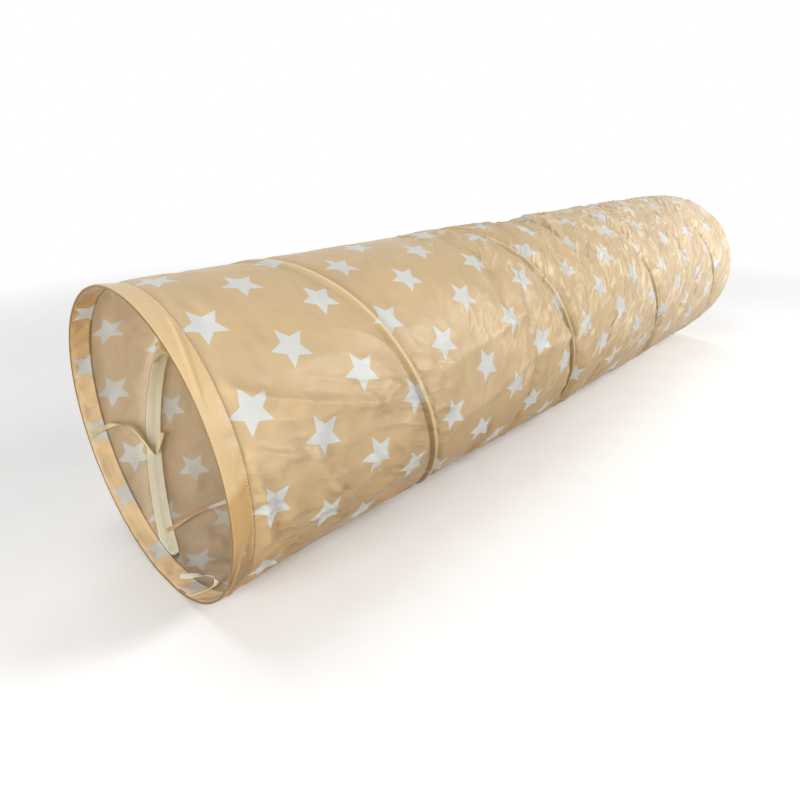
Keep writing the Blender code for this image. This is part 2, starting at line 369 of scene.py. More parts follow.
def hem_colours(along, cells, metres, down, ground, hem):
    """The hem's outside, with painted shade low down beside the mouth, and its facing inside the rim, with
    painted shade at its top and a painted shadow strip along its inner edge.
    """
    facing_top, facing_low, shaded, rim = hem
    patches = ramp(speckle(metres, 26.0, 1.0), (0.35, 0.94), (0.65, 1.04))
    # Painted shade: the facing darker at the top of the mouth, lighter lower down
    facing = ramp(down, (0.10, facing_top), (0.42, facing_low))
    facing = blend_colours(1.0, facing, patches, "MULTIPLY")
    # A darker strip along the facing's inner edge in the upper half: the thicker turned edge, with painted shadow
    # over it
    strip = ramp(along * -30.0, (0.86, 0.0), (0.92, 0.5)) * ramp(down, (0.25, 1.0), (0.45, 0.0))
    facing = blend_colours(strip, facing, rim)
    # Painted shade on the hem's lower side beside the mouth, deepest towards the bottom
    deepest_painted_shade = tuple(0.62 * c for c in shaded[:3]) + (1,)
    ground = ramp(
        along.scaled(0.5, cells * 0.1),
        (0.576, ground), (0.586, shaded), (0.64, shaded), (0.70, deepest_painted_shade), (0.80, shaded), (0.90, ground),
    )
    inner = ramp(along.scaled(-200.0, -0.4), (0.0, 0.0), (0.5, 1.0))
    return blend_colours(inner, ground, facing)


def casing_painted_shade_and_highlight(shade, along, place, down):
    """Paints shade on the foot of each casing, more on the lower side, and a shadow on the seam at the front hem,
    and paints a highlight on the casing's crown.
    """
    front = ramp(place, (0.22, 0.0), (0.29, 0.9), (0.43, 0.9), (0.50, 0.0))
    front = front * ramp(down, (0.02, 0.0), (0.20, 0.35), (0.50, 1.0))
    crown = ramp(place, (0.40, 0.0), (0.50, 0.75), (0.60, 0.75), (0.69, 0.0))
    seam = ramp(along * 30.0, (0.92, 1.0), (0.99, 0.0)) * ramp(down, (0.35, 0.1), (0.55, 0.8))
    # Painted shade on the foot, painted highlight on the crown, painted shadow at the seam
    shade = blend_colours(front, shade, (0.50, 0.41, 0.26, 1), "MULTIPLY")
    shade = blend_colours(crown, shade, colour(248, 224, 172))
    return blend_colours(seam, shade, (0.50, 0.36, 0.20, 1), "MULTIPLY")


def star_cloth(name, ground, star, roughness, glow, dent, crumple, casing=False, hem=None):
    """The thin woven cloth with its star print, for the sleeve with its casings or for a hem."""
    material, tree = new_material(name)
    along, cells, metres = cloth_places(tree)
    down = from_top(cells, STARS_ROUND)
    run = along / TUNNEL_LENGTH
    # Colours
    if casing:
        ground, star = sleeve_colours(run, down, ground, star)
    if hem is not None:
        ground = hem_colours(along, cells, metres, down, ground, hem)
    stars = star_print(along, cells)
    shade = blend_colours(stars, ground, star)
    tone = ramp(speckle(metres, 9.0, 3.0), (0.3, 0.94), (0.7, 1.04))
    shade = blend_colours(1.0, shade, tone, "MULTIPLY")
    # Painted shade: a dark line along the underside of the rim's fold
    if hem is not None:
        edge = ramp(abs(along + 0.0014) * 100.0, (0.18, 1.0), (0.30, 0.0))
        shade = blend_colours(edge, shade, hem[-1])
    # Creases of the loose cloth in the rear bays, with a painted highlight on their crests
    loose = ramp(run, (0.20, 0.0), (0.32, 0.5), (0.50, 1.0)) * ramp(down, (0.50, 1.0), (0.72, 0.35))
    patches = ramp(speckle(metres, 13.0, 1.0), (0.47, 0.0), (0.58, 1.0))
    patches = maths("MAXIMUM", patches, ramp(run, (0.42, 0.0), (0.60, 0.9)))
    leaning = sharp_creases(stretched(metres, 37, 0.027, 0.105), 1.0)
    crossing = sharp_creases(stretched(metres, 8, 0.030, 0.075), 0.6)
    creases = maths("MAXIMUM", leaning, crossing * 0.4) * (loose * patches)
    # Painted highlight: pale glints on the crease crests, weaker on the stars
    shade = blend_colours(creases * stars.scaled(-0.6, 0.75), shade, colour(255, 240, 206))
    # Casings and the pleats beside them
    place = beside_coil(along, cells).scaled(20.0, 0.5)
    # Painted shade and highlight of the casings
    if casing:
        shade = casing_painted_shade_and_highlight(shade, along, place, down)
    near = ramp(place, (0.0, 0.0), (0.22, 1.0), (0.40, 0.3), (0.60, 0.0), (0.70, 0.8), (0.95, 0.0))
    pleats = speckle(stretched(metres, 4, 0.050, 0.0055), 1.0, 1.0)
    # Dents of the front bay's lower side
    where = ramp(speckle(metres, 7.0, 1.0), (0.40, 0.15), (0.58, 1.0)) * ramp(down, (0.22, 0.08), (0.42, 1.0))
    where = where * ramp(run, (0.17, 1.0), (0.27, 0.3), (0.50, 0.1))
    dents = facets(stretched(metres, -70, 0.028, 0.066)) * where
    pleated = facets(stretched(metres, 37, 0.030, 0.110)) * loose
    fine = speckle(metres, 60.0, 4.0, 0.6)
    normal = None
    for height, distance, strength in (
        (dents, dent, 1.0), (pleated, 0.1 * dent, 1.0), (creases, crumple, 1.0), (pleats * near, 0.0014, 1.0),
        (fine, 0.0002, 0.8), (threads(metres, 420.0), 0.00004, 0.7),
    ):
        normal = raise_surface(height, distance, strength, normal)
    thin_cloth(shade, normal, ramp(fine, (0.3, roughness - 0.05), (0.7, roughness + 0.06)), glow)
    return material


def ribbon(name, *stops, glow=0.2):
    """A narrow woven ribbon, with stops of a place along it and the red, green and blue there."""
    material, tree = new_material(name)
    along, _, metres = cloth_places(tree)
    tone = ramp(speckle(metres, 90.0, 2.0), (0.3, 0.9), (0.7, 1.04))
    shade = ramp(along * 10.0, *((place, colour(*rgb)) for place, *rgb in stops))
    shade = blend_colours(1.0, shade, tone, "MULTIPLY")
    thin_cloth(shade, raise_surface(threads(metres, 500.0), 0.00006), 0.45, glow)
    return material


def tape_finish():
    """The cream casing tape, with its rows of stitches along both edges, painted darker at the top of the tunnel
    and with painted shade in its hollows.
    """
    material, tree = new_material("cream_casing_tape")
    along, across, _ = cloth_places(tree)
    uv = cloth_map(tree)
    hollow = ramp(abs(across) * 60.0, (0.60, 0.0), (0.68, 1.0), (0.76, 0.0))
    tone = ramp(speckle(uv, 6.0, 1.0), (0.3, 0.95), (0.7, 1.03))
    # Painted light and shade: the cream darker at the top of the tunnel, paler low down
    down = from_top(along, STAR_ARC * STARS_ROUND)
    cream = ramp(down, (0.30, colour(232, 214, 176)), (0.60, colour(255, 253, 236)))
    shade = blend_colours(1.0, cream, tone, "MULTIPLY")
    # Painted shade in the hollows
    shade = blend_colours(hollow * 0.4, shade, colour(190, 172, 124))
    normal = raise_surface(maths("SUBTRACT", 1.0, hollow), 0.0005)
    normal = raise_surface(threads(uv, 420.0), 0.00005, 0.8, normal)
    thin_cloth(shade, normal, 0.5, 0.40)
    return material


def steel_finish():
    """Drawn spring steel, with fine marks along it."""
    material, tree = new_material("drawn_spring_steel")
    marks = speckle(made(tree, "ShaderNodeTexCoord", "Object"), 900.0, 3.0)
    show(made(tree, "ShaderNodeBsdfPrincipled", 0, {
        "Base Color": ramp(marks, (0.3, colour(128, 130, 134)), (0.7, colour(164, 166, 170))),
        "Metallic": 1.0, "Roughness": ramp(marks, (0.3, 0.28), (0.7, 0.42)),
        "Normal": raise_surface(marks, 0.00005),
    }))
    return material


def thread_finish(name, shade):
    """A twisted sewing thread."""
    material, tree = new_material(name)
    twist = speckle(made(tree, "ShaderNodeTexCoord", "Object"), 1500.0, 1.0)
    darker = tuple(0.75 * c for c in shade[:3]) + (1.0,)
    show(made(tree, "ShaderNodeBsdfPrincipled", 0, {
        "Base Color": ramp(twist, (0.3, darker), (0.7, shade)), "Roughness": 0.6,
        "Normal": raise_surface(twist, 0.0001),
    }))
    return material


STAR_WHITE = colour(217, 219, 216)
sleeve_outside = star_cloth(
    "star_cloth_outside", colour(211, 186, 145), STAR_WHITE,
    roughness=0.40, glow=0.28, dent=0.0165, crumple=0.0034, casing=True,
)
sleeve_inside = star_cloth(
    "star_cloth_inside", colour(236, 222, 196), colour(238, 238, 235),
    roughness=0.55, glow=0.46, dent=0.0018, crumple=0.0008,
)
hem_outside = star_cloth(
    "star_cloth_hem", colour(217, 187, 140), STAR_WHITE,
    roughness=0.40, glow=0.10, dent=0.0018, crumple=0.0006,
    # Hem colours: the facing at the top, the facing lower down, the painted shade of the hem's lower side, and
    # the painted shade of the rim
    hem=(colour(205, 164, 104), colour(240, 210, 166), colour(200, 160, 104), colour(124, 96, 54)),
)
hem_reverse = star_cloth(
    "star_cloth_hem_reverse", colour(206, 180, 138), colour(205, 205, 203),
    roughness=0.55, glow=0.10, dent=0.0018, crumple=0.0006,
)
casing_tape = tape_finish()
spring_steel = steel_finish()
cream_thread = thread_finish("cream_sewing_thread", colour(240, 222, 176))
brown_thread = thread_finish("tan_sewing_thread", colour(198, 164, 112))
cream_ribbon = ribbon("cream_ribbon", (0.0, 232, 218, 176), (1.0, 226, 212, 170))
grey_ribbon = ribbon("grey_ribbon", (0.0, 236, 224, 184), (0.36, 232, 220, 184), (0.45, 206, 202, 192))
print_ribbon = ribbon(
    "print_ribbon", (0.0, 232, 196, 152), (0.80, 236, 200, 156), (0.82, 240, 236, 228), (1.0, 240, 236, 228)
)
knot_ribbon = ribbon("knot_ribbon", (0.0, 240, 230, 190), (1.0, 234, 222, 178), glow=0.3)


# Shaping helpers
def smooth_route(points, steps):
    """Points on a smooth curve through the route's own points."""
    route = []
    last = len(points) - 1
    for i in range(last):
        around_it = points[max(i - 1, 0)], points[i], points[i + 1], points[min(i + 2, last)]
        for step in range(steps):
            t = step / steps
            route.append([
                b + t * (c - a) / 2 + t * t * (2 * a - 5 * b + 4 * c - d) / 2
                + t * t * t * (3 * b - a - 3 * c + d) / 2
                for a, b, c, d in zip(*around_it)
            ])
    route.append(list(points[-1]))
    return route


def tangents(path):
    """The direction of the path at each of its points."""
    last = len(path) - 1
    return [(path[min(i + 1, last)] - path[max(i - 1, 0)]).normalized() for i in range(len(path))]


def finished(name, shape, materials, body="front_end"):
    """A piece from its finished mesh, smooth, riding its body."""
    item = add_mesh(name, shape)
    shape.free()
    for material in materials:
        item.data.materials.append(material)
    item.data.shade_smooth()
    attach(item, body)
    return item


def thicken(item, thickness, reverse=0, rim=True):
    """Gives the cloth its wall, inwards from the outer face."""
    wall = item.modifiers.new("thickness", "SOLIDIFY")
    wall.thickness = thickness
    wall.offset = -1
    wall.use_rim = rim
    wall.material_offset = reverse


def refine(item):
    """Rounds the piece by one subdivision."""
    finer = item.modifiers.new("smoothness", "SUBSURF")
    finer.levels = 1
    finer.render_levels = 1


def face_outwards(shape):
    """Turns the faces round if the one at the top of the tunnel looks down."""
    shape.normal_update()
    top = max(shape.faces, key=lambda f: f.calc_center_median().z)
    if top.normal.z < 0:
        bmesh.ops.reverse_faces(shape, faces=shape.faces)
        shape.normal_update()


def folds_up(item):
    """Gives the piece its own copy of its mesh."""
    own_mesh(item)


# Ribbon ties
SIDE_TIE = (
    (0.14, 0, 346.2, 0), (0.52, 0, 346.8, 0), (1.02, 0.06, 347.6, 0), (1.35, 0.32, 348.2, 30),
    (1.80, 0.60, 347.2, 75), (2.25, 0.65, 343.5, 90), (2.60, 0.65, 337.5, 90), (2.82, 0.65, 332.0, 85),
    (2.98, 0.62, 329.4, 60), (3.20, 0.60, 331.0, 35), (3.50, 0.62, 334.0, 20), (3.82, 0.70, 337.4, 10),
)
BOTTOM_TIE = (
    (0.14, 0, 253.0, 0), (0.50, 0, 251.2, 0), (1.02, 0.06, 248.9, 0), (1.28, 0.40, 248.6, -15),
    (1.42, 1.00, 249.4, -50), (1.25, 1.60, 252.5, -50), (0.98, 1.80, 256.5, 10), (0.70, 1.55, 260.8, 40),
    (0.42, 1.15, 265.0, 45),
)
FLOOR_TIE = (
    (1.56, 0, 293.9, 0), (1.80, 0, 294.0, 0), (2.30, 0.10, 294.4, 10), (3.00, 0.22, 295.2, 20),
    (3.80, 0.20, 295.6, 10), (4.60, 0.08, 295.2, 0), (5.40, 0.16, 294.4, -15), (6.00, 0.26, 293.9, -20),
)
BOW_TIE = (
    (4.20, 0.46, 11.2, 0), (4.55, 0.18, 13.4, 0), (4.98, 0.04, 15.0, 0), (5.35, 0.18, 17.6, 0),
    (5.55, 0.50, 20.0, 0), (5.52, 0.84, 20.6, 0), (5.30, 0.90, 18.6, 0), (4.98, 0.56, 15.2, 0),
    (4.62, 0.70, 18.8, 0), (4.40, 1.05, 21.8, 0), (4.42, 1.42, 22.2, 0), (4.62, 1.44, 19.6, 0),
    (5.00, 1.04, 15.4, 0), (5.35, 1.12, 13.2, 0), (5.70, 1.10, 10.6, 0),
)


def ribbon_tie(name, node, route, seat_radius, finish, folds=False):
    """A flat ribbon, sewn down at its start and free at its end."""
    path, rolls = [], []
    for run, height, degrees, roll in smooth_route(route, 8):
        radius = seat_radius - RIBBON_THICKNESS - max(height, 0) * RIBBON_WIDTH
        path.append(pressed(around(FRONT_X + run * HEM_LENGTH, radius, degrees)))
        rolls.append(math.radians(roll))
    shape = bmesh.new()
    across = 4
    last = len(path) - 1
    bmesh.ops.create_grid(shape, x_segments=last, y_segments=across, size=0.5)
    uv = shape.loops.layers.uv.new("UVMap")
    ahead = tangents(path)
    distances = [0.0]
    for a, b in zip(path, path[1:]):
        distances.append(distances[-1] + (b - a).length)
    for face in shape.faces:
        for loop in face.loops:
            i = round((loop.vert.co.x + 0.5) * last)
            loop[uv].uv = (distances[i], loop.vert.co.y * RIBBON_WIDTH / STAR_ARC)
    for vertex in shape.verts:
        i = round((vertex.co.x + 0.5) * last)
        share = vertex.co.y
        point = path[i]
        outward = Vector((0, point.y, point.z - AXIS_HEIGHT))
        outward = (outward - outward.dot(ahead[i]) * ahead[i]).normalized()
        side = ahead[i].cross(outward)
        wide = math.cos(rolls[i]) * side + math.sin(rolls[i]) * outward
        thick = math.cos(rolls[i]) * outward - math.sin(rolls[i]) * side
        cupped = 0.0003 * (1 - (2 * share) ** 2)
        vertex.co = point + wide * share * RIBBON_WIDTH - thick * (cupped - RIBBON_THICKNESS / 2)
    item = finished(name, shape, [finish])
    thicken(item, RIBBON_THICKNESS)
    refine(item)
    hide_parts(node)
    if folds:
        folds_up(item)


ribbon_tie("side_tie", "front_tie_side", SIDE_TIE, FACING_RADIUS, cream_ribbon)
ribbon_tie("bottom_tie", "front_tie_bottom", BOTTOM_TIE, FACING_RADIUS, grey_ribbon)
ribbon_tie("floor_tie", "coil_tie_floor", FLOOR_TIE, TAPE_RADIUS - CLOTH_THICKNESS, print_ribbon, folds=True)
ribbon_tie("bow_tie", "coil_tie_bow", BOW_TIE, TAPE_RADIUS - CLOTH_THICKNESS, knot_ribbon, folds=True)


# Sleeve cloth
STEPS_ROUND = 168
FREE_ROWS = 48
MOST_BUCKLE = 0.010
CREASES = (
    # height, half width, then places as distance from the front rim and degrees
    (0.0064, 0.020, (0.030, 143), (0.080, 150), (0.150, 157), (0.235, 163)),
    (0.0046, 0.012, (0.200, 161), (0.245, 164.5), (0.290, 161)),
    (0.0062, 0.017, (0.030, 162), (0.090, 169), (0.130, 172.5)),
    (0.0050, 0.013, (0.125, 170), (0.140, 180), (0.160, 188)),
    (0.0048, 0.022, (0.130, 187), (0.190, 184), (0.250, 183)),
    (0.0044, 0.011, (0.038, 165), (0.050, 180), (0.052, 196)),
    (0.0036, 0.012, (0.060, 196), (0.095, 186), (0.135, 192), (0.180, 200)),
    (0.0034, 0.010, (0.170, 172), (0.215, 178), (0.240, 190)),
    (0.0030, 0.010, (0.090, 203), (0.130, 208), (0.210, 207)),
    (0.0028, 0.009, (0.225, 135), (0.255, 138), (0.300, 148)),
    (0.0080, 0.030, (0.360, 164), (0.440, 160), (0.560, 155), (0.620, 152)),
    (0.0046, 0.014, (0.480, 186), (0.500, 196), (0.520, 206)),
    (0.0056, 0.026, (0.540, 178), (0.640, 172), (0.760, 170)),
    (0.0044, 0.020, (0.340, 190), (0.430, 186), (0.520, 180)),
    (0.0030, 0.007, (0.330, 118), (0.352, 112), (0.372, 107)),
    (0.0034, 0.008, (0.495, 137), (0.515, 128), (0.530, 124)),
    (0.0042, 0.009, (0.550, 139), (0.600, 126), (0.660, 108)),
    (0.0034, 0.008, (0.610, 136), (0.640, 126), (0.680, 116)),
    (0.0036, 0.009, (0.640, 142), (0.690, 130), (0.730, 120)),
)
CREASE_LINES = []
for height, half_width, *places in CREASES:
    ends = min(p[0] for p in places), max(p[0] for p in places)
    lines = []
    for (x1, a1), (x2, a2) in zip(places, places[1:]):
        y1, y2 = math.radians(a1) * SLEEVE_RADIUS, math.radians(a2) * SLEEVE_RADIUS
        lines.append((x1, y1, x2 - x1, y2 - y1, (x2 - x1) ** 2 + (y2 - y1) ** 2))
    CREASE_LINES.append((height, half_width, ends, lines))


def crease_height(distance, degrees, narrow=1.0, power=1.4):
    """How far the placed creases lift the cloth at this place."""
    if distance > 0.80 or not 88 < degrees < 222:
        return 0.0
    arc = math.radians(degrees) * SLEEVE_RADIUS
    total = 0.0
    for height, half_width, (first, last), lines in CREASE_LINES:
        reach = half_width * narrow
        if not first - reach < distance < last + reach:
            continue
        best = 0.0
        for x, y, dx, dy, squared in lines:
            share = min(max(((distance - x) * dx + (arc - y) * dy) / squared, 0), 1)
            gap = math.hypot(distance - x - share * dx, arc - y - share * dy)
            if gap < reach:
                best = max(best, 1 - gap / reach)
        fade = 1.0 if first < 0.04 else min(max((distance - first) / max(last - first, 0.03), 0.3), 1.0)
        total += height * fade * best ** power
    return total


def ridge_height(behind):
    """Height of the casing over its seams, by the distance behind the wire's middle."""
    foot = TAPE_HALF if behind < 0 else 0.0095
    rounding = 0.0016
    across = math.hypot(behind, rounding) - rounding
    share = min(across / (math.hypot(foot, rounding) - rounding), 1)
    return (CROWN_RADIUS - SEAM_RADIUS) * (1 - share) ** (1.1 if behind < 0 else 1.5)


def from_hems(distance):
    """Distance from the nearer hem, by the distance from the front rim."""
    return min(distance, TUNNEL_LENGTH - distance) - HEM_LENGTH


def sleeve_place(distance, behind, degrees):
    """The radius of the cloth before it buckles."""
    beside = abs(behind)
    bay = min(max((PITCH / 2 - beside) / (PITCH / 2), 0), 1)
    from_hem = from_hems(distance)
    seam = (SLEEVE_RADIUS - SEAM_RADIUS) * (1 - rise(TAPE_HALF, 0.035, beside))
    underside = hump(190, 225, 250, 280, degrees)
    drawn = underside * 0.0035 * (1 - bay ** 2) * rise(TAPE_HALF, 0.05, beside)
    full = 0.0012 * (1 - bay ** 2) * (1 - underside) * rise(TAPE_HALF, 0.05, beside)
    loose = rise(0.45, 0.75, distance)
    angle = math.radians(degrees)
    here = Vector((distance, math.cos(angle) * SLEEVE_RADIUS, math.sin(angle) * SLEEVE_RADIUS))
    broad = noise((here.x * 6, here.y * 11, here.z * 11))
    medium = 1 - 2 * abs(noise(here * 26 + Vector((3, 1, 7))))
    rough = 0.0016 * broad + (0.0004 + 0.0014 * loose) * medium
    resting = hump(240, 262, 300, 318, degrees)
    free = rise(TAPE_HALF, TAPE_HALF + 0.020, beside) * rise(0.001, 0.03, from_hem) * (1 - resting)
    lifted = 0.4 * crease_height(distance, degrees)
    sag = 0.012 * rise(0.66, 0.92, distance) * (1 - rise(0.94, 1.08, distance))
    sag *= rise(20, 55, degrees) * (1 - rise(85, 125, degrees))
    settled = SLEEVE_RADIUS - seam + (full - drawn) * rise(0, 0.06, from_hem)
    return settled + ridge_height(behind) + free * (rough + lifted - sag)


def cloth_spot(point):
    """A point's distance from the front rim, its distance behind the nearest turn of the coil, and its angle."""
    degrees = angle_of(point)
    share = (point.x - SLEEVE_START) / PITCH - (degrees - COIL_START) / 360
    return point.x - FRONT_X, (share - round(share)) * PITCH, degrees


def helical_grid(rows, steps, first_step, last_step):
    """A flat grid wound round the tunnel beside the coil wire, with its place on the cloth as its map."""
    shape = bmesh.new()
    count = last_step - first_step
    last_row = len(rows) - 1
    bmesh.ops.create_grid(shape, x_segments=count, y_segments=last_row, size=0.5)
    uv = shape.loops.layers.uv.new("UVMap")
    spots = {}
    for vertex in shape.verts:
        step = round((vertex.co.x + 0.5) * count) + first_step
        turned = step / steps
        spots[vertex] = step, turned, SLEEVE_START + PITCH * turned + rows[round((vertex.co.y + 0.5) * last_row)]
    for face in shape.faces:
        face.material_index = (min(spots[v][0] for v in face.verts) - first_step) // steps
        for loop in face.loops:
            _, turned, x = spots[loop.vert]
            loop[uv].uv = (x - FRONT_X, (COIL_START / 360 + turned) * STARS_ROUND)
    for vertex, (_, turned, x) in spots.items():
        vertex.co = around(x, SLEEVE_RADIUS, COIL_START + 360 * turned)
    return shape


def cut_at_hems(shape):
    """Trims what runs past the hems."""
    for x, side in ((SLEEVE_START, -1), (SLEEVE_END, 1)):
        everything = list(shape.verts) + list(shape.edges) + list(shape.faces)
        bmesh.ops.bisect_plane(
            shape, geom=everything, dist=1e-6, plane_co=(x, 0, 0), plane_no=(side, 0, 0), clear_outer=True
        )


def sleeve_rows():
    """Distances behind the wire of the rows of the sleeve, from one turn to past the next."""
    near = [0.0012, 0.0026, 0.0044, 0.0068, 0.0098, TAPE_HALF]
    free = [TAPE_HALF + (PITCH - 2 * TAPE_HALF) * k / FREE_ROWS for k in range(FREE_ROWS + 1)]
    return free + [PITCH - s for s in reversed(near[:-1])] + [PITCH] + [PITCH + s for s in near]


def crumple(shape):
    """Lets the cloth between the coil and the hems buckle, with more slack to the rear and a push from inside."""
    item = add_mesh("slack_cloth", shape)
    held = item.vertex_groups.new(name="held")
    tight = item.vertex_groups.new(name="tight")
    rest = [v.co.copy() for v in item.data.vertices]
    for index, place in enumerate(rest):
        distance, behind, degrees = cloth_spot(place)
        under_floor_tie = 287 < degrees < 301 and 0.035 < distance < 0.192
        if abs(behind) < TAPE_HALF + 0.0005 or from_hems(distance) < 0.003 or under_floor_tie:
            held.add([index], 1.0, "REPLACE")
        tight.add([index], 1 - rise(0.30, 0.80, distance), "REPLACE")
    cloth = item.modifiers.new("crumpling", "CLOTH")
    settings = cloth.settings
    settings.quality = 4
    settings.mass = 0.05
    settings.tension_stiffness = 15
    settings.compression_stiffness = 15
    settings.shear_stiffness = 5
    settings.bending_stiffness = 0.03
    settings.vertex_group_mass = "held"
    settings.vertex_group_shrink = "tight"
    settings.shrink_min = -0.035
    settings.shrink_max = -0.006
    settings.effector_weights.gravity = 0.0
    settings.use_pressure = True
    settings.uniform_pressure_force = 8.0
    cloth.collision_settings.use_collision = False
    cloth.collision_settings.use_self_collision = False
    scene = bpy.context.scene
    for number in range(1, 25):
        scene.frame_set(number)
    settled = bmesh.new()
    settled.from_object(item, bpy.context.evaluated_depsgraph_get())
    settled.verts.ensure_lookup_table()
    shape.verts.ensure_lookup_table()
    for vertex, moved, start in zip(shape.verts, settled.verts, rest):
        buckle = moved.co - start
        if buckle.length > MOST_BUCKLE:
            buckle *= MOST_BUCKLE / buckle.length
        vertex.co = start + buckle
    settled.free()
    scene.frame_set(1)
    bpy.data.objects.remove(item)


def refined(shape):
    """The cloth with each of its faces in four."""
    item = add_mesh("cloth", shape)
    shape.free()
    refine(item)
    finer = bmesh.new()
    finer.from_object(item, bpy.context.evaluated_depsgraph_get())
    bpy.data.objects.remove(item)
    return finer


def small_creases(distance, behind, degrees):
    """The height of the short sharp creases that the loose cloth keeps."""
    beside = abs(behind)
    arc = math.radians((degrees + 90) % 360) * SLEEVE_RADIUS
    low = hump(150, 178, 212, 232, degrees)
    bunched = 0.60 * low * (1 - rise(0.05, 0.15, distance)) + 0.25 * low * (1 - rise(0.02, 0.07, beside))
    loose = max(0.08 + 0.92 * rise(0.42, 0.80, distance), bunched)
    patches = max(rise(-0.25, 0.20, noise((distance * 8, arc * 8, 3.7))), min(2 * bunched, 1))
    upper = 1 - 0.6 * rise(185, 205, degrees) * (1 - rise(335, 360, degrees)) * (1 - min(3 * bunched, 1))
    resting = hump(228, 245, 318, 330, degrees)
    held = rise(0.004, 0.022, beside) * rise(0.002, 0.02, from_hems(distance)) * (1 - resting)
    wander = noise((distance * 14, arc * 14, 8.1)) * 0.030
    leaning = Vector(((distance + 0.75 * arc + wander) / 0.026, (arc - 0.75 * distance) / 0.090, 1.3))
    crossing = Vector(((distance - 0.30 * arc + wander) / 0.034, (arc + 0.30 * distance) / 0.055, 6.2))
    sharp = max(1 - 3.6 * abs(noise(leaning)), 0) ** 1.7
    wide = max(1 - 3.0 * abs(noise(crossing)), 0) ** 1.4
    placed = 0.8 * crease_height(distance, degrees) + 0.5 * crease_height(distance, degrees, 0.5, 1.1)
    place = Vector((distance, math.cos(math.radians(degrees)) / 4.4, math.sin(math.radians(degrees)) / 4.4))
    medium = 0.0018 * (0.5 + 0.5 * low) * (1 - 2.4 * abs(noise(place * 22 + Vector((3, 1, 7)))))
    return held * (placed + medium + loose * upper * (0.0042 * sharp * patches + 0.0016 * wide - 0.0012))


def make_sleeve():
    """The one cloth tube, made in a strip for each turn."""
    shape = helical_grid(sleeve_rows(), STEPS_ROUND, -STEPS_ROUND, TURNS * STEPS_ROUND)
    bmesh.ops.remove_doubles(shape, verts=shape.verts, dist=1e-5)
    cut_at_hems(shape)
    bmesh.ops.remove_doubles(shape, verts=shape.verts, dist=5e-4)
    for vertex in shape.verts:
        distance, behind, degrees = cloth_spot(vertex.co)
        vertex.co = pressed(around(vertex.co.x, sleeve_place(distance, behind, degrees), degrees))
    bmesh.ops.recalc_face_normals(shape, faces=shape.faces)
    crumple(shape)
    shape = refined(shape)
    face_outwards(shape)
    lifts = [vertex.normal * small_creases(*cloth_spot(vertex.co)) for vertex in shape.verts]
    for vertex, lift in zip(shape.verts, lifts):
        vertex.co += lift
        vertex.co.x = min(max(vertex.co.x, SLEEVE_START), SLEEVE_END)
        vertex.co.z = max(vertex.co.z, FLOOR_CLEARANCE)
    strips = []
    for turn in range(TURNS + 1):
        strip = shape.copy()
        others = [f for f in strip.faces if f.material_index != turn]
        bmesh.ops.delete(strip, geom=others, context="FACES")
        for face in strip.faces:
            face.material_index = 0
        area = sum(f.calc_area() for f in strip.faces)
        item = finished(f"sleeve_strip_{turn + 1}", strip, [sleeve_outside, sleeve_inside])
        thicken(item, CLOTH_THICKNESS, reverse=1, rim=False)
        strips.append(item)
    shape.free()
    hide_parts("sleeve_turn_1")
    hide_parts("sleeve_turn_1", "sleeve_turn_2")
    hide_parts("sleeve_turn_2", "sleeve_turn_3")
    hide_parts("sleeve_turn_3", "sleeve_turn_4")
    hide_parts("sleeve_turn_4")
    for item in strips:
        folds_up(item)


make_sleeve()


# Casing tape and coil wire
COIL_STEPS = 96
TAPE_STITCHES_BESIDE = 0.0118


def make_tape():
    """The tape that covers the wire inside the sleeve."""
    half = [0.0040, 0.0085, TAPE_STITCHES_BESIDE, TAPE_HALF]
    rows = [-s for s in reversed(half)] + [0] + half
    shape = helical_grid(rows, COIL_STEPS, 0, TURNS * COIL_STEPS)
    uv = shape.loops.layers.uv.verify()
    for face in shape.faces:
        face.material_index = 0
        for loop in face.loops:
            _, behind, _ = cloth_spot(loop.vert.co)
            loop[uv].uv = (loop[uv].uv.y * STAR_ARC, behind / STAR_ARC)
    cut_at_hems(shape)
    bmesh.ops.remove_doubles(shape, verts=shape.verts, dist=2e-4)
    for vertex in shape.verts:
        _, behind, degrees = cloth_spot(vertex.co)
        wave = noise((vertex.co.x * 9, vertex.co.y * 30, vertex.co.z * 30))
        pucker = 0.00035 * wave * (1 - (behind / TAPE_HALF) ** 2)
        vertex.co = pressed(around(vertex.co.x, TAPE_RADIUS - abs(pucker), degrees))
    bmesh.ops.recalc_face_normals(shape, faces=shape.faces)
    face_outwards(shape)
    area = sum(f.calc_area() for f in shape.faces)
    item = finished("casing_tape", shape, [casing_tape])
    refine(item)
    thicken(item, CLOTH_THICKNESS)
    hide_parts(*[f"casing_tape_turn_{n}" for n in range(1, TURNS + 1)])
    area / (2 * TAPE_HALF)
    folds_up(item)


